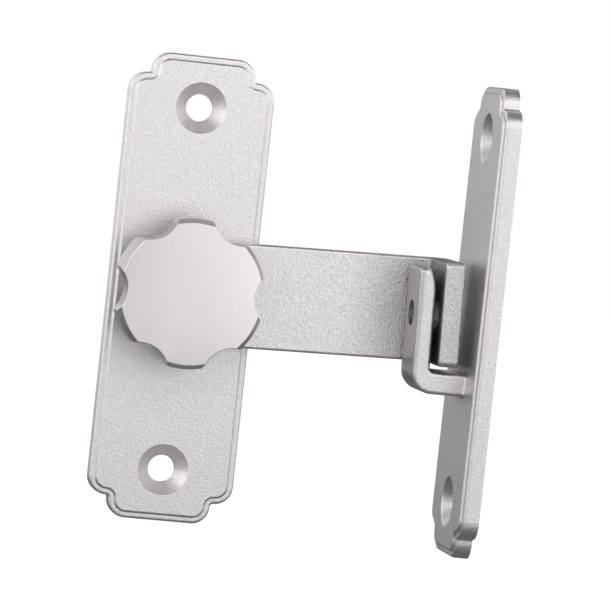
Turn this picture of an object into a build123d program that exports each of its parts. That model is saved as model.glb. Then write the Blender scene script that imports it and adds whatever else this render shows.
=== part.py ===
from build123d import *
import math
import os

# Barn door latch: a main plate on the door, a turning arm with a fluted knob, and a
# keeper plate on the wall whose hook holds the bent end of the arm.
# Frame, in mm: X to the right, Z up, the front towards -Y. The origin is the middle of
# the main plate's two screw holes, on its back face. The knob turns about the Y axis.

os.makedirs("parts", exist_ok=True)

# Driving sizes.
plate_width = 30.0
plate_length = 95.5
plate_thickness = 3.8
border_step = 0.5            # how far the raised field stands above the border
border_width = 1.2
field_slope = 0.38           # slope between the border and the field
notch = 4.4                  # corner notch, measured from each edge
notch_shoulder_radius = 3.7
notch_root_radius = 0.6
plate_edge_radius = 0.6
field_edge_radius = 0.3

screw_end_distance = 10.6    # screw hole to the plate's end
screw_hole_diameter = 5.6
countersink_diameter = 10.5

pivot_drop = 0.23            # the pivot axis lies this far below the middle of the plate
arm_height = 21.3
arm_thickness = 4.0
arm_gap = 1.6                # between the field and the back of the arm
arm_reach = 54.15            # pivot axis to the outer face of the bent end
tip_overhang = 2.65          # how far the bent end stands out in front of the hook
bend_inner_radius = 1.0
bend_outer_radius = 3.0
arm_edge_radius = 0.55
tip_end_radius = 1.2         # top and bottom of the end face
arm_tilt = 1.5               # degrees, how far the arm is lifted

knob_radius = 15.25          # at the widest, below the bevel
knob_face_radius = 14.4
knob_bevel_depth = 1.4
knob_scallop_radius = 12.95  # axis to the bottom of a scallop
knob_scallop_curve = 6.3
knob_lobes = 6
knob_height = 7.6
knob_corner_radius = 0.5
knob_rim_radius = 0.15

journal_diameter = 8.0
journal_clearance = 0.05     # radial, in the plate's bore
drive_over_journal = 0.4     # square drive across flats, over the journal
drive_clearance = 0.05
screw_diameter = 5.0
washer_clearance = 0.1       # on the screw's diameter
screw_head_diameter = 9.0
screw_head_height = 0.95
screw_length = 9.5           # under the head
retaining_diameter = 14.0
retaining_thickness = 1.1
web_thickness = 1.6          # plate left in front of the counterbore
friction_washer_thickness = 0.5
pivot_washer_margin = 2.15   # inside the arm's round end
spring_washer_thickness = 0.55

tip_field_gap = 2.65         # bent end to the keeper's field
tip_leg_gap = 0.85           # bent end to the hook's leg
keeper_offset = 1.0          # the hook sits this far behind the keeper's centre line
hook_back_gap = 0.75         # hook to the front of the arm
hook_width = 12.4
hook_thickness = 3.5         # of the leg
hook_lean = 1.5              # degrees, the leg opens away from the plate
hook_floor_thickness = 4.55
hook_floor_lift = 0.08       # floor above the lower edge of a level arm
hook_height = 21.0           # inside, floor to the top of the leg
hook_outer_corner = 4.2
hook_inner_corner = 1.0
hook_edge_radius = 0.85
hook_root_radius = 0.45
hook_top_corner = 1.4
hook_hole_diameter = 5.4
hook_hole_height = 11.3      # above the floor
lead_in_height = 5.0
lead_in_depth = 1.4

# Sizes that follow from them.
screw_spacing = plate_length - 2 * screw_end_distance
pivot_washer_diameter = arm_height - 2 * pivot_washer_margin
drive_square = journal_diameter + drive_over_journal
field_y = -plate_thickness
arm_back_y = field_y - arm_gap
arm_front_y = arm_back_y - arm_thickness
knob_face_y = arm_front_y - knob_height
hook_y = arm_front_y - hook_back_gap - hook_width / 2
keeper_y = hook_y - keeper_offset
tip_end_y = hook_y - hook_width / 2 - tip_overhang
keeper_field_x = arm_reach + tip_field_gap
hook_inner_x = arm_reach - arm_thickness - tip_leg_gap
hook_outer_x = hook_inner_x - hook_thickness
hook_floor_z = hook_floor_lift - arm_height / 2 - pivot_drop
hook_top_z = hook_floor_z + hook_height
hook_hole_z = hook_floor_z + hook_hole_height
lead_in_start_z = hook_top_z - lead_in_height
counterbore_depth = plate_thickness - web_thickness
web_back_y = -counterbore_depth
lean_rise = math.tan(math.radians(hook_lean))
hook_outer_top_x = hook_outer_x - lean_rise * (hook_height + hook_floor_thickness)
lead_in_start_x = hook_inner_x - lean_rise * (hook_height - lead_in_height)
lead_in_end_x = hook_inner_x - lean_rise * hook_height - lead_in_depth
pivot = Pos(0, 0, -pivot_drop)
turned = pivot * Rot(0, -arm_tilt, 0)


def plate_outline(inset=0.0):
    """Outline of a plate with stepped corners, shrunk by inset on every side."""
    width = plate_width - 2 * inset
    length = plate_length - 2 * inset
    outline = Rectangle(width, length)
    corners = GridLocations(width, length, 2, 2)
    outline -= corners * Rectangle(2 * notch, 2 * notch)
    roots = []
    shoulders = []
    for v in outline.vertices():
        if abs(v.X) < width / 2 - notch + 0.01 and abs(v.Y) < length / 2 - notch + 0.01:
            roots.append(v)
        else:
            shoulders.append(v)
    outline = fillet(roots, notch_root_radius + inset)
    shoulders = [
        v for v in outline.vertices()
        if abs(abs(v.X) - width / 2) < 0.001 and abs(abs(v.Y) - (length / 2 - notch)) < 0.001
        or abs(abs(v.Y) - length / 2) < 0.001 and abs(abs(v.X) - (width / 2 - notch)) < 0.001
    ]
    return fillet(shoulders, notch_shoulder_radius - inset)


def plate_blank():
    """Plate with a raised field inside a narrow border and two countersunk screw holes.

    It lies with its back on y = 0 and its field facing -Y.
    """
    wall = plate_thickness - border_step
    body = extrude(Plane.XZ * plate_outline(), wall)
    front_rim = body.faces().sort_by(Axis.Y)[0].outer_wire().edges()
    body = fillet(front_rim, plate_edge_radius)
    field = extrude(Plane.XZ.offset(wall - 0.4) * plate_outline(border_width), border_step + 0.4)
    field_rim = field.faces().sort_by(Axis.Y)[0].outer_wire().edges()
    field = chamfer(field_rim, field_slope)
    field_rim = field.faces().sort_by(Axis.Y)[0].outer_wire().edges()
    field = fillet(field_rim, field_edge_radius)
    body = body + field
    for z in (-screw_spacing / 2, screw_spacing / 2):
        body -= countersunk_hole(z)
    return body


def countersunk_hole(z):
    """Cutter for one screw hole: a straight bore with a 90 degree cone at the front."""
    bore_radius = screw_hole_diameter / 2
    cone_radius = countersink_diameter / 2
    over = 0.3
    profile = Polyline(
        (0, 1),
        (bore_radius, 1),
        (bore_radius, field_y + cone_radius - bore_radius),
        (cone_radius + over, field_y - over),
        (0, field_y - over),
        close=True,
    )
    cutter = revolve(make_face(profile), Axis.Y)
    return Pos(0, 0, z) * cutter


def disc(diameter, y_back, y_front, hole=0.0):
    """Round disc about the pivot axis between two y values, with an optional bore."""
    section = Circle(diameter / 2)
    if hole > 0:
        section -= Circle(hole / 2)
    return extrude(Plane.XZ.offset(-y_back) * section, y_back - y_front)


def main_plate():
    """Door plate: the blank with the pivot bore and the counterbore behind it."""
    body = plate_blank()
    bore = journal_diameter + 2 * journal_clearance
    body -= pivot * disc(bore, 1, field_y - 1)
    body -= pivot * disc(retaining_diameter + 0.4, 1, web_back_y)
    return body


def latch_arm():
    """Flat arm, round about the pivot, with its far end bent towards the viewer."""
    path = Polyline(
        (0, arm_back_y),
        (arm_reach, arm_back_y),
        (arm_reach, tip_end_y),
        (arm_reach - arm_thickness, tip_end_y),
        (arm_reach - arm_thickness, arm_front_y),
        (0, arm_front_y),
        close=True,
    )
    strip = extrude(make_face(path), arm_height / 2, both=True)
    outer = [e for e in strip.edges().filter_by(Axis.Z)
             if abs(e.center().X - arm_reach) < 0.01
             and abs(e.center().Y - arm_back_y) < 0.01]
    strip = fillet(outer, bend_outer_radius)
    inner = [e for e in strip.edges().filter_by(Axis.Z)
             if abs(e.center().X - arm_reach + arm_thickness) < 0.01
             and abs(e.center().Y - arm_front_y) < 0.01]
    strip = fillet(inner, bend_inner_radius)
    end = [e for e in strip.edges().filter_by(Axis.X) if abs(e.center().Y - tip_end_y) < 0.01]
    strip = fillet(end, tip_end_radius)
    eye = disc(arm_height, arm_back_y, arm_front_y)
    body = strip + eye
    rims = [e for e in body.edges() if edge_is_rim(e)]
    body = fillet(rims, arm_edge_radius)
    hole = drive_square + 2 * drive_clearance
    body -= extrude(Plane.XZ.offset(-arm_back_y - 1) * Rectangle(hole, hole), arm_thickness + 2)
    return turned * body


def edge_is_rim(edge):
    """True for the edges along the strip's top and bottom, the eye and the bent end."""
    box = edge.bounding_box()
    flat = box.size.Z < 0.01 and abs(abs(edge.center().Z) - arm_height / 2) < 0.01
    round_eye = edge.geom_type == GeomType.CIRCLE and box.size.Z > arm_height / 2
    end = edge.center().Y < tip_end_y + tip_end_radius and box.size.X < 0.01
    return flat or round_eye or end


def knob_section():
    """Round outline with scallops that leave broad lobes, one of them on top."""
    section = Circle(knob_radius)
    scallop = Circle(knob_scallop_curve)
    centre = knob_scallop_radius + knob_scallop_curve
    section -= PolarLocations(centre, knob_lobes, 90 + 180 / knob_lobes) * scallop
    return fillet(section.vertices(), knob_corner_radius)


def knob_blank():
    """Turned blank of the knob's head, with a steep bevel round its face."""
    profile = Polyline(
        (0, arm_front_y),
        (knob_radius - 0.3, arm_front_y),
        (knob_radius, arm_front_y - 0.3),
        (knob_radius, knob_face_y + knob_bevel_depth),
        (knob_face_radius, knob_face_y),
        (0, knob_face_y),
        close=True,
    )
    return revolve(make_face(profile), Axis.Y)


def knob():
    """Fluted knob with a square drive for the arm, a round journal and a screw bore."""
    column = extrude(Plane.XZ.offset(-arm_front_y) * knob_section(), knob_height)
    head = column & knob_blank()
    face_rim = head.faces().sort_by(Axis.Y)[0].outer_wire().edges()
    head = fillet(face_rim, knob_rim_radius)
    drive_back = arm_back_y - 0.15
    drive = extrude(
        Plane.XZ.offset(-drive_back) * RectangleRounded(drive_square, drive_square, 0.8),
        drive_back - arm_front_y,
    )
    journal = disc(journal_diameter, web_back_y, arm_front_y)
    body = head + drive + journal
    body -= disc(screw_diameter, 1, web_back_y - screw_length - 0.8)
    return turned * body


def pivot_screw():
    """Pan head screw from the back, with a hexagon socket, that clamps the stack."""
    head_front = web_back_y + retaining_thickness
    head_back = head_front + screw_head_height
    shank = disc(screw_diameter, head_front, head_front - screw_length)
    head = disc(screw_head_diameter, head_back, head_front)
    head = fillet(head.faces().sort_by(Axis.Y)[-1].edges(), 0.4)
    tip = shank.faces().sort_by(Axis.Y)[0].edges()
    shank = chamfer(tip, 0.6)
    body = head + shank
    socket = extrude(
        Plane.XZ.offset(-head_back) * RegularPolygon(1.5, 6, major_radius=False), 1.6
    )
    return turned * (body - socket)


def retaining_washer():
    """Flat washer in the plate's counterbore, clamped on the end of the journal."""
    return pivot * disc(
        retaining_diameter,
        web_back_y + retaining_thickness,
        web_back_y,
        screw_diameter + washer_clearance,
    )


def friction_washer():
    """Thin plastic washer under the arm."""
    hole = journal_diameter + 0.1
    return pivot * disc(
        pivot_washer_diameter,
        arm_back_y + friction_washer_thickness,
        arm_back_y,
        hole,
    )


def spring_washer():
    """Conical spring washer between the plate and the friction washer."""
    back = field_y
    front = arm_back_y + friction_washer_thickness
    inner = journal_diameter / 2 + 0.1
    outer = pivot_washer_diameter / 2
    t = spring_washer_thickness
    profile = Polyline(
        (inner, front),
        (inner, front + t),
        (outer, back),
        (outer, back - t),
        close=True,
    )
    return pivot * revolve(make_face(profile), Axis.Y)


def hook():
    """J shaped hook, drawn from the side and given its width, then rounded."""
    under_z = hook_floor_z - hook_floor_thickness
    root_x = keeper_field_x + 1.0
    lead = ThreePointArc(
        (lead_in_start_x, lead_in_start_z),
        (
            lead_in_start_x - 0.27 * (lead_in_start_x - lead_in_end_x),
            (lead_in_start_z + hook_top_z) / 2,
        ),
        (lead_in_end_x, hook_top_z),
    )
    rest = Polyline(
        (lead_in_end_x, hook_top_z),
        (hook_outer_top_x, hook_top_z),
        (hook_outer_x, under_z),
        (root_x, under_z),
        (root_x, hook_floor_z),
        (hook_inner_x, hook_floor_z),
        (lead_in_start_x, lead_in_start_z),
    )
    side = Plane.XZ.offset(-hook_y) * make_face(lead + rest)
    body = extrude(side, hook_width / 2, both=True)
    corner = [e for e in body.edges().filter_by(Axis.Y)
              if abs(e.center().X - hook_outer_x) < 0.01 and abs(e.center().Z - under_z) < 0.01]
    body = fillet(corner, hook_outer_corner)
    inside = [e for e in body.edges().filter_by(Axis.Y)
              if abs(e.center().X - hook_inner_x) < 0.01 and abs(e.center().Z - hook_floor_z) < 0.01]
    body = fillet(inside, hook_inner_corner)
    top_corners = [e for e in body.edges().filter_by(Axis.X)
                   if abs(e.center().Z - hook_top_z) < 0.01]
    body = fillet(top_corners, hook_top_corner)
    rim = [e for e in body.edges() if hook_edge_is_rim(e, root_x)]
    return fillet(rim, hook_edge_radius)


def hook_edge_is_rim(edge, root_x):
    """True for the hook's edges round its outer face, legs and top, not at its root."""
    box = edge.bounding_box()
    at_side = box.size.Y < 0.01 and abs(abs(edge.center().Y - hook_y) - hook_width / 2) < 0.01
    at_root = abs(edge.center().X - root_x) < 0.01
    outer_top = abs(edge.center().Z - hook_top_z) < 0.01 and abs(edge.center().X - hook_outer_top_x) < 0.01
    return (at_side and not at_root) or outer_top


def keeper():
    """Wall plate cast in one with the hook that catches the bent end of the arm."""
    facing_left = Rot(0, 0, -90) * plate_blank()
    plate = Pos(keeper_field_x + plate_thickness, keeper_y, 0) * facing_left
    body = plate + hook()
    root = []
    for e in body.edges():
        box = e.bounding_box()
        near_y = abs(box.center().Y - hook_y) <= hook_width / 2 + 0.01
        near_z = hook_floor_z - hook_floor_thickness - 0.1 < box.center().Z < hook_floor_z + 0.1
        if box.size.X < 0.01 and abs(box.center().X - keeper_field_x) < 0.01 and near_y and near_z:
            root.append(e)
    body = fillet(root, hook_root_radius)
    hole = Plane.YZ.offset(hook_outer_x - 1) * Pos(hook_y, hook_hole_z) * Circle(hook_hole_diameter / 2)
    return body - extrude(hole, hook_thickness + 2)


nodes = {
    "main_plate": main_plate,
    "keeper": keeper,
    "latch_arm": latch_arm,
    "knob": knob,
    "pivot_screw": pivot_screw,
    "retaining_washer": retaining_washer,
    "spring_washer": spring_washer,
    "friction_washer": friction_washer,
}

for name, make in nodes.items():
    shape = make()
    if isinstance(shape, (ShapeList, list)):
        shape = Compound(children=list(shape))
    box = shape.bounding_box()
    print(name, "solids", len(shape.solids()), "valid", shape.is_valid,
          "volume", round(shape.volume, 1),
          "x", round(box.min.X, 2), round(box.max.X, 2),
          "y", round(box.min.Y, 2), round(box.max.Y, 2),
          "z", round(box.min.Z, 2), round(box.max.Z, 2))
    export_step(shape, "parts/" + name + ".step")
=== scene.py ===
# %% [markdown]
# # A barn door latch in cast stainless steel
#
# The latch is already exact as CAD solids: two plates with raised fields, a flat arm, a
# fluted knob and a small stack of washers with a screw. They are loaded here as a fixed
# frame. Blender's work is the finish of each piece, the light and the camera. The object
# floats on white in the picture, so nothing else is added.

import math
import bpy
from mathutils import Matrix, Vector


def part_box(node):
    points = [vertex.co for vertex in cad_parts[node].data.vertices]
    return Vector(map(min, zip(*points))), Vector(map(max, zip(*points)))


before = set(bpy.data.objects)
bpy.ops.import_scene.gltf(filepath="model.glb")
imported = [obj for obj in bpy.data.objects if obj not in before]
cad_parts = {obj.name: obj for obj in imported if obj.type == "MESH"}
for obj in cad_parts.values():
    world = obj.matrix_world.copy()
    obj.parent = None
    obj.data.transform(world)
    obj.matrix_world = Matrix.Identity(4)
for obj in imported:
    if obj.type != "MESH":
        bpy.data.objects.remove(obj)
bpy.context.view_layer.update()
print("pieces:", sorted(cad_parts))

# %% [markdown]
# ## Where things are
#
# Every piece lies in one shared frame: X to the right, Z up, the front towards -Y. The
# finishes follow places on the latch, such as the knob's face or the inside of the hook.
# The boxes of the main solids are printed here, so that those places can be checked.

# %% Places on the latch
arm_lift = math.radians(1.5)  # the arm is stored a little lifted, and the knob with it
for node in ("main_plate", "latch_arm", "knob", "keeper"):
    near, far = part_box(node)
    print(node, "in mm:", [round(1000 * v, 2) for v in (*near, *far)])


def deselect():
    """Drop the selection, because an operator acts on all that is selected."""
    if bpy.context.mode != "OBJECT":
        bpy.ops.object.mode_set(mode="OBJECT")
    bpy.ops.object.select_all(action="DESELECT")


# %% [markdown]
# ## Helpers for node materials
#
# Each finish is a small node tree round one Principled shader. It could be drawn by hand
# in the shader editor, but small functions make the same links each time and read like a
# recipe. Values that are the same all over the piece are set on the shader itself; only
# what changes over the surface is linked. All patterns read Object coordinates, in
# metres, so a grain of 0.5 mm is a noise scale of about 2000.

# %% Node helpers
def new_finish(name, color, metallic, roughness):
    """A material with one Principled shader, and the parts needed to build on it."""
    material = bpy.data.materials.new(name)
    material.use_nodes = True
    tree = material.node_tree
    shader = next(n for n in tree.nodes if n.type == "BSDF_PRINCIPLED")
    shader.inputs["Base Color"].default_value = (*color, 1.0)
    shader.inputs["Metallic"].default_value = metallic
    shader.inputs["Roughness"].default_value = roughness
    return material, tree, shader


def add(tree, kind, *sources, **settings):
    """A new node, its properties set and the sources linked to its first inputs."""
    node = tree.nodes.new(kind)
    for key, value in settings.items():
        setattr(node, key, value)
    for source, socket in zip(sources, node.inputs):
        tree.links.new(source, socket)
    return node


def object_space(tree, scale=(1, 1, 1), rotation=(0, 0, 0)):
    """Object coordinates, stretched and turned by a Mapping node."""
    coords = add(tree, "ShaderNodeTexCoord").outputs["Object"]
    mapping = add(tree, "ShaderNodeMapping", coords)
    mapping.inputs["Scale"].default_value = scale
    mapping.inputs["Rotation"].default_value = rotation
    return mapping.outputs["Vector"]


def axis_distance(tree):
    """How far a point is from the object's own Y axis, 0.23 mm above the pivot's."""
    place = object_space(tree, (1.0, 0.0, 1.0))
    return add(tree, "ShaderNodeVectorMath", place, operation="LENGTH").outputs["Value"]


# %% Patterns, ranges and bumps
def noise(tree, vector, scale, detail=2.0, rough=0.5, distortion=0.0):
    """A noise pattern on the given coordinates."""
    node = add(tree, "ShaderNodeTexNoise", vector)
    node.inputs["Scale"].default_value = scale
    node.inputs["Detail"].default_value = detail
    node.inputs["Roughness"].default_value = rough
    node.inputs["Distortion"].default_value = distortion
    return node.outputs["Fac"]


def ramp(tree, value, low_at, high_at, low_value, high_value):
    """Map a value between two limits to another range, held at its ends."""
    node = add(tree, "ShaderNodeMapRange", value)
    node.inputs["From Min"].default_value = low_at
    node.inputs["From Max"].default_value = high_at
    node.inputs["To Min"].default_value = low_value
    node.inputs["To Max"].default_value = high_value
    return node.outputs["Result"]


def spread(tree, pattern, least, most):
    """A noise spread over a range. Nearly all of a noise lies between 0.3 and 0.7."""
    return ramp(tree, pattern, 0.3, 0.7, least, most)


def product(tree, first, second):
    """Two values that change over the surface, multiplied."""
    return add(tree, "ShaderNodeMath", first, second, operation="MULTIPLY").outputs["Value"]


def tone_between(tree, factor, color, least, most):
    """The colour times least where the factor is 0, and times most where it is 1."""
    node = add(tree, "ShaderNodeMix", factor, data_type="RGBA")
    ends = [socket for socket in node.inputs if socket.type == "RGBA"]
    for socket, share in zip(ends, (least, most)):
        socket.default_value = (*(min(1.0, share * c) for c in color), 1.0)
    return next(socket for socket in node.outputs if socket.type == "RGBA")


def bump(tree, height, distance, strength=1.0, normal=None):
    """A bump of a given height in metres, laid over another one if there is one."""
    node = add(tree, "ShaderNodeBump")
    node.inputs["Distance"].default_value = distance
    node.inputs["Strength"].default_value = strength
    tree.links.new(height, node.inputs["Height"])
    if normal is not None:
        tree.links.new(normal, node.inputs["Normal"])
    return node.outputs["Normal"]


# %% [markdown]
# ## Zones with soft sides
#
# The latch stands on even white, and light alone doesn't reach the deep shade that the
# photograph shows inside the hook. So a finish can be darker in zones. A zone could be
# painted, but that needs a UV map and an image. Here it is a product of slopes: each one
# climbs from 0 to 1 between two places along an axis of the latch.

# %% Zones
def zone(tree, *edges):
    """A mask, 1 inside the zone. Each edge is an axis and two places in mm: the mask is
    0 up to the first place and 1 from the second."""
    coords = add(tree, "ShaderNodeTexCoord").outputs["Object"]
    split = add(tree, "ShaderNodeSeparateXYZ", coords)
    mask = None
    for axis, start, full in edges:
        slope = ramp(tree, split.outputs[axis], start / 1000, full / 1000, 0.0, 1.0)
        mask = slope if mask is None else product(tree, mask, slope)
    return mask


def darken(tree, color, mask, factor):
    """The colour, times a factor where the mask is 1."""
    node = add(tree, "ShaderNodeVectorMath", color, operation="SCALE")
    tree.links.new(ramp(tree, mask, 0.0, 1.0, 1.0, factor), node.inputs["Scale"])
    return node.outputs["Vector"]


# %% [markdown]
# ## Sand-blasted casting
#
# The plates, the arm and the keeper are investment castings, blasted with fine sand. The
# skin has two scales: soft waves of about half a millimetre left by the mould, and a
# crisp grain of a fifth of a millimetre left by the sand. It could be true displacement,
# but that takes millions of faces and would move the edges, so both are bumps. The grain
# also changes the roughness, and the waves the tone, as pits hold less light. Near the
# arm's bend the mould has left longer and deeper waves, so there a third bump sets in.

# %% Sand-blasted steel
wave_scale, sand_scale, swirl_scale = 2300, 5200, 1500
wave_height, sand_height, swirl_height = 0.000075, 0.000035, 0.00012  # in metres
blasted_roughness = 0.34
pit_tone, crest_tone = 0.93, 1.06  # times the colour


def cast_steel(name, color, grain=1.0, stretch=(1, 1, 1), turn=(0, 0, 0), painted_shade=(), flow=()):
    """Fine blasted casting. grain is its strength; stretch and turn shape its flow.

    Each painted shade entry is a factor and the edges of the zone whose colour is
    darker by it. The edges in flow bound the zone of longer and deeper waves.
    """
    material, tree, shader = new_finish(name, color, 1.0, blasted_roughness)
    place = object_space(tree, stretch, turn)
    waves = noise(tree, place, wave_scale, 1.0, 0.5, 0.9)
    sand = noise(tree, place, sand_scale, 2.0, 0.6, 0.4)
    height = spread(tree, waves, 0.0, 1.0)
    tone = tone_between(tree, height, color, pit_tone, crest_tone)
    # painted shade: each zone darkens the colour by its factor
    for factor, *edges in painted_shade:
        tone = darken(tree, tone, zone(tree, *edges), factor)
    tree.links.new(tone, shader.inputs["Base Color"])
    rough = spread(tree, sand, blasted_roughness - 0.05, blasted_roughness + 0.14)
    tree.links.new(rough, shader.inputs["Roughness"])
    skin = bump(tree, waves, wave_height * grain)
    skin = bump(tree, sand, sand_height * grain, normal=skin)
    if flow:
        swirls = noise(tree, place, swirl_scale, 1.0, 0.5, 1.6)
        deep = product(tree, swirls, zone(tree, *flow))
        skin = bump(tree, deep, swirl_height, normal=skin)
    tree.links.new(skin, shader.inputs["Normal"])
    return material


# %% [markdown]
# ## The keeper's and the arm's painted shade
#
# Each zone here is painted shade: its colour is made darker because shade and shadow
# fall there. On the keeper these are the inner face of the hook's leg, the plate's field
# beside the hook's floor, the leg's left face, and the lower halves of the two
# countersinks. On the arm they are the left side of the bent end, which stands in the
# hook, and the last stretch before the bend. Each zone is a factor for the colour and its
# edges in mm, placed so that a soft side ends before the next face begins.

# %% Painted shade zones
def countersink_painted_shade(centre):
    """Painted shade on the lower half of the keeper's countersink that lies at this height
    in mm.
    """
    return (
        0.78, ("X", 56.9, 57.3), ("X", 60.4, 60.2), ("Z", centre - 6.4, centre - 5.4),
        ("Z", centre + 2, centre), ("Y", -24, -23), ("Y", -10.7, -11.7),
    )


screw_height = 37.15  # the screw holes' distance from the middle, in mm
# painted shade inside the hook, on the leg's inner face and the hook's floor
hook_inner_painted_shade = (
    0.40, ("X", 48.2, 48.9), ("X", 53, 52), ("Z", -11.4, -10.6), ("Y", -22.2, -21.2),
)
# painted shadow of the hook on the plate's field beside the hook's floor
field_foot_painted_shadow = (
    0.60, ("X", 56, 57), ("X", 59.5, 58.9), ("Z", -11.2, -10.4), ("Z", 2, -6),
    ("Y", -29, -24), ("Y", -3, -8),
)
# painted shade on the hook leg's left face
left_face_painted_shade = (0.74, ("X", 46.7, 46.0), ("Y", -25.5, -24.5))
# painted shade on the side of the bent end, where it stands in the hook
end_side_painted_shade = (
    0.40, ("X", 49.0, 50.2), ("X", 53.6, 53.1), ("Y", -24.8, -23.8), ("Y", -5.5, -9.0),
)
# painted shade on the arm's last stretch before the bend, beside the hook
before_bend_painted_shade = (0.80, ("X", 33, 46), ("Y", -5.5, -9.0))
near_bend = [("X", 26, 42), ("Y", -5.5, -7.5)]  # where the third bump sets in

keeper_painted_shade = [
    hook_inner_painted_shade, field_foot_painted_shadow, left_face_painted_shade,
    countersink_painted_shade(screw_height), countersink_painted_shade(-screw_height),
]
arm_painted_shade = [end_side_painted_shade, before_bend_painted_shade]
print(len(keeper_painted_shade), "darker zones on the keeper,", len(arm_painted_shade), "on the arm")

# %% The three cast finishes
plate_finish = cast_steel("blasted_plate", (0.82, 0.79, 0.796))
# the keeper's and the arm's finishes carry painted shade in their zones
keeper_finish = cast_steel(
    "blasted_keeper_painted_shade", (0.75, 0.722, 0.728), grain=0.9, painted_shade=keeper_painted_shade
)
arm_finish = cast_steel(
    "blasted_arm_painted_shade", (0.79, 0.761, 0.767), grain=1.3,
    stretch=(1.0, 1.0, 0.55), turn=(0, math.radians(-62), 0),
    painted_shade=arm_painted_shade, flow=near_bend,
)
print("cast finishes:", plate_finish.name, keeper_finish.name, arm_finish.name)

# %% [markdown]
# ## Brushed knob
#
# The knob's face is brushed up and down. An anisotropic shader could show that, but not
# the single strokes, so brushing is a noise squeezed hard across the strokes and drawn
# long along them. It moves the tone and a very low bump. The strokes lean with the knob,
# which is turned by the arm's small lift. Polishing rounds a face off by a hair, so the
# normals also follow a very flat crown: one bump whose height falls with the square of
# the distance from the axis. That is the object's own Y axis. The pivot lies 0.23 mm
# lower, which is too little to show. The knob's sides are only blasted, so behind the
# face the steel is duller and a little darker. Inside the scallops the colour is darker
# still: that is painted shade, as the hollows of the scallops lie in shade.

# %% Brushed steel
stroke_scale, stroke_squeeze, stroke_height = 6500, 0.03, 0.00001
patch_scale, patch_squeeze = 260, 0.2
crown_curve = 5.0  # one over the radius of the crown, per metre
behind_face = ("Y", -16.9, -16.7)  # the face lies at -17.0 mm
side_tone, side_dulling = 0.82, 0.18  # times the colour, added to the roughness
# the third value is painted shade inside the scallops, times the colour
scallop_start, scallop_full, scallop_painted_shade = 0.0146, 0.0141, 0.75  # radii in metres


def brushed_steel(name, color):
    """Fine vertical strokes in a satin steel, on a face that is crowned very slightly."""
    material, tree, shader = new_finish(name, color, 1.0, 0.30)
    lean = (0, arm_lift, 0)
    along = object_space(tree, (1.0, 1.0, stroke_squeeze), lean)
    strokes = noise(tree, along, stroke_scale, 3.0, 0.6)
    wide = object_space(tree, (1.0, 1.0, patch_squeeze), lean)
    patches = noise(tree, wide, patch_scale)
    radius = axis_distance(tree)
    side = zone(tree, behind_face)
    inside = ramp(tree, radius, scallop_start, scallop_full, 0.0, 1.0)
    scallop_shade = product(tree, side, inside)
    tone = tone_between(tree, spread(tree, strokes, 0.0, 1.0), color, 0.975, 1.015)
    tone = darken(tree, tone, side, side_tone)
    # painted shade: the colour inside the scallops is darker
    tone = darken(tree, tone, scallop_shade, scallop_painted_shade)
    tree.links.new(tone, shader.inputs["Base Color"])
    satin = spread(tree, patches, 0.28, 0.33)
    dull = ramp(tree, side, 0.0, 1.0, 0.0, side_dulling)
    rough = add(tree, "ShaderNodeMath", satin, dull, operation="ADD")
    tree.links.new(rough.outputs["Value"], shader.inputs["Roughness"])
    square = product(tree, radius, radius)
    crown = add(tree, "ShaderNodeMath", square, operation="MULTIPLY")
    crown.inputs[1].default_value = -crown_curve / 2
    domed = bump(tree, crown.outputs["Value"], 1.0)
    tree.links.new(bump(tree, strokes, stroke_height, 0.5, domed), shader.inputs["Normal"])
    return material


knob_finish = brushed_steel("brushed_face_painted_shade", (0.78, 0.742, 0.746))
print("knob finish:", knob_finish.name)

# %% [markdown]
# ## Washers and screw
#
# The small pieces behind the arm are turned or stamped, and the thin washer under the
# arm is nylon. Turned faces carry fine rings about their axis. Rings of a tenth of a
# millimetre are too fine to model, so a noise reads the distance from the same Y axis
# as above.

# %% Turned steel and nylon
ring_scale, ring_height = 9000, 0.00002
spot_scale, cloud_scale = 700, 500


def turned_steel(name, color, roughness=0.3):
    """Steel with fine rings about the axis."""
    material, tree, shader = new_finish(name, color, 1.0, roughness)
    rings = add(tree, "ShaderNodeTexNoise", noise_dimensions="1D")
    rings.inputs["Scale"].default_value = ring_scale
    rings.inputs["Detail"].default_value = 2.0
    tree.links.new(axis_distance(tree), rings.inputs["W"])
    spots = noise(tree, object_space(tree), spot_scale)
    rough = spread(tree, spots, roughness - 0.04, roughness + 0.08)
    tree.links.new(rough, shader.inputs["Roughness"])
    skin = bump(tree, rings.outputs["Fac"], ring_height, 0.4)
    tree.links.new(skin, shader.inputs["Normal"])
    return material


def nylon(name, color):
    """Natural nylon: milky, with a soft gloss and slight clouding."""
    material, tree, shader = new_finish(name, color, 0.0, 0.45)
    shader.inputs["Subsurface Weight"].default_value = 0.1
    shader.inputs["Subsurface Radius"].default_value = (0.001, 0.001, 0.001)
    cloud = noise(tree, object_space(tree), cloud_scale)
    tone = tone_between(tree, cloud, color, 0.92, 1.04)
    tree.links.new(tone, shader.inputs["Base Color"])
    return material


screw_finish = turned_steel("turned_screw", (0.56, 0.56, 0.57))
washer_finish = turned_steel("stamped_washer", (0.60, 0.60, 0.60), 0.34)
spring_finish = turned_steel("spring_washer_steel", (0.50, 0.50, 0.51), 0.28)
nylon_finish = nylon("friction_nylon", (0.80, 0.80, 0.77))
for finish in (screw_finish, washer_finish, spring_finish, nylon_finish):
    print("small finish:", finish.name)

# %% [markdown]
# ## A finish for each solid
#
# Each solid came with its material slots from the CAD. The slots could be cleared and
# made new, but then the solid would no longer be as it was handed over. So every slot
# stays and only gets the finish of its piece.

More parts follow.
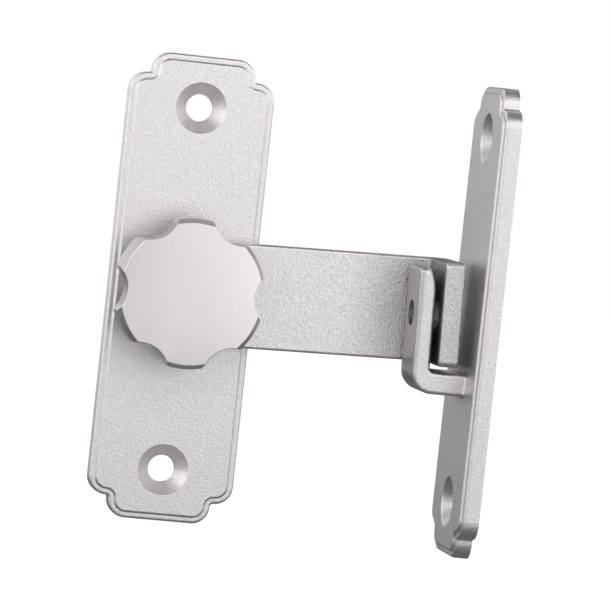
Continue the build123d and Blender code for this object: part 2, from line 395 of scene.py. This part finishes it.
# %% Give each solid its finish
finishes = {
    "main_plate": plate_finish,
    "keeper": keeper_finish,
    "latch_arm": arm_finish,
    "knob": knob_finish,
    "pivot_screw": screw_finish,
    "retaining_washer": washer_finish,
    "spring_washer": spring_finish,
    "friction_washer": nylon_finish,
}
for node, finish in finishes.items():
    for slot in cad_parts[node].material_slots:
        slot.material = finish
    print(node, "->", finish.name)

# %% [markdown]
# ## White floor and white world
#
# The photograph shows the latch on plain white with no shadow near it, so the floor lies
# well below. Where it ends, a line would show against the world. A backdrop could hide
# it, but would show in the steel. So the floor glows a little for the camera alone.

# %% Floor
floor_height, floor_glow = -0.13, 0.12

deselect()
bpy.ops.mesh.primitive_plane_add(size=6, location=(0, 0, floor_height))
floor = bpy.context.object
floor.name = "floor"
floor_material, tree, shader = new_finish("floor_white", (0.93, 0.93, 0.93), 0.0, 0.9)
shader.inputs["Specular IOR Level"].default_value = 0.1
shader.inputs["Emission Color"].default_value = (1, 1, 1, 1)
seen = add(tree, "ShaderNodeLightPath").outputs["Is Camera Ray"]
tree.links.new(ramp(tree, seen, 0, 1, 0.0, floor_glow), shader.inputs["Emission Strength"])
floor.data.materials.append(floor_material)
print("floor at z =", round(floor.location.z, 3))

# %% World
world = bpy.data.worlds.new("studio")
bpy.context.scene.world = world
world.use_nodes = True
background = next(n for n in world.node_tree.nodes if n.type == "BACKGROUND")
background.inputs["Color"].default_value = (1, 1, 1, 1)
background.inputs["Strength"].default_value = 1.0
print("world:", world.name)

# %% [markdown]
# ## Grey cards
#
# Steel shows its surroundings, and in an all white room it would look flat. More lamps
# would only add light, so what gives it form are plain grey cards, as a photographer
# uses. Each one stands where one face of the latch looks: two behind it for the keeper's
# field and the gap beside the bent end, one overhead for the rims, one in front to the
# left for the hook, and two low ones for the undersides and the foot of the plates. Only
# reflections see them.

# %% Cards
upright, level = math.radians(90), 0.0


def card(name, centre, turn, width, height, grey):
    """A flat card that only reflections see, upright or level."""
    deselect()
    bpy.ops.mesh.primitive_plane_add(size=1, location=centre)
    flat = bpy.context.object
    flat.name = name
    flat.scale = (width, height, 1)
    flat.rotation_euler = (turn, 0, 0)
    material, tree, shader = new_finish(name + "_grey", (grey, grey, grey), 0.0, 1.0)
    shader.inputs["Specular IOR Level"].default_value = 0.0
    flat.data.materials.append(material)
    flat.visible_camera = False
    flat.visible_diffuse = False
    flat.visible_shadow = False
    flat.visible_transmission = False
    print(name, "at", centre)


card("back_card", (0.03, 0.25, 0.52), upright, 0.11, 1.30, 0.09)
card("back_right_card", (0.32, 0.25, 0.52), upright, 0.47, 1.30, 0.36)
card("low_card", (0.0, 0.65, -0.125), level, 2.4, 1.56, 0.12)
card("top_card", (0.0, -0.125, 0.7), level, 1.6, 0.75, 0.15)
card("front_card", (-0.28, -1.3, 0.14), upright, 0.40, 0.52, 0.14)
card("front_low_card", (0.065, -0.28, -0.122), level, 1.07, 0.30, 0.31)

# %% [markdown]
# ## Soft lamps
#
# Four large square lamps a metre away add light from the front, from both sides and from
# above, all aimed at the middle of the latch. Point lamps would draw hard bright spots on
# the knob; a square of half a metre or more gives the wide, soft ones of a light tent.

# %% Lamps
lamp_distance = 1.0


def lamp(name, azimuth, elevation, size, power):
    """A square area lamp that points at the object. Azimuth 0 is in front, 90 right."""
    deselect()
    a, e = math.radians(azimuth), math.radians(elevation)
    toward = (math.sin(a) * math.cos(e), -math.cos(a) * math.cos(e), math.sin(e))
    place = [lamp_distance * t for t in toward]
    bpy.ops.object.light_add(type="AREA", location=place)
    light = bpy.context.object
    light.name = name
    light.rotation_euler = (math.radians(90) - e, 0, a)
    light.data.size = size
    light.data.energy = power
    print(name, "at", [round(v, 2) for v in place])


lamp("key_lamp", azimuth=34, elevation=8, size=0.5, power=0.5)
lamp("right_lamp", azimuth=80, elevation=12, size=0.7, power=0.9)
lamp("left_lamp", azimuth=-60, elevation=20, size=0.8, power=1.6)
lamp("top_lamp", azimuth=10, elevation=40, size=0.5, power=0.8)

# %% [markdown]
# ## Camera
#
# The camera was fitted to the lines of both plates, the knob, the arm and the hook in
# the photograph. It could be set by eye, but then no edge would fall in its place. It
# stands to the left of the latch and a little above it, rolled by six degrees, with a
# long lens, so the edges stay nearly parallel.

# %% Set the camera
camera_data = bpy.data.cameras.new("camera")
camera = bpy.data.objects.new("camera", camera_data)
bpy.context.scene.collection.objects.link(camera)
camera.location = (-0.140995, -0.916633, 0.0435)
camera.rotation_euler = (1.5226845, -0.1070801, -0.1757168)
camera_data.sensor_width = 36.0
camera_data.lens = 266.328
camera_data.clip_start = 0.05
camera_data.clip_end = 20.0
bpy.context.scene.camera = camera
bpy.context.scene.view_settings.view_transform = "Standard"
print("camera", tuple(round(v, 4) for v in camera.location))
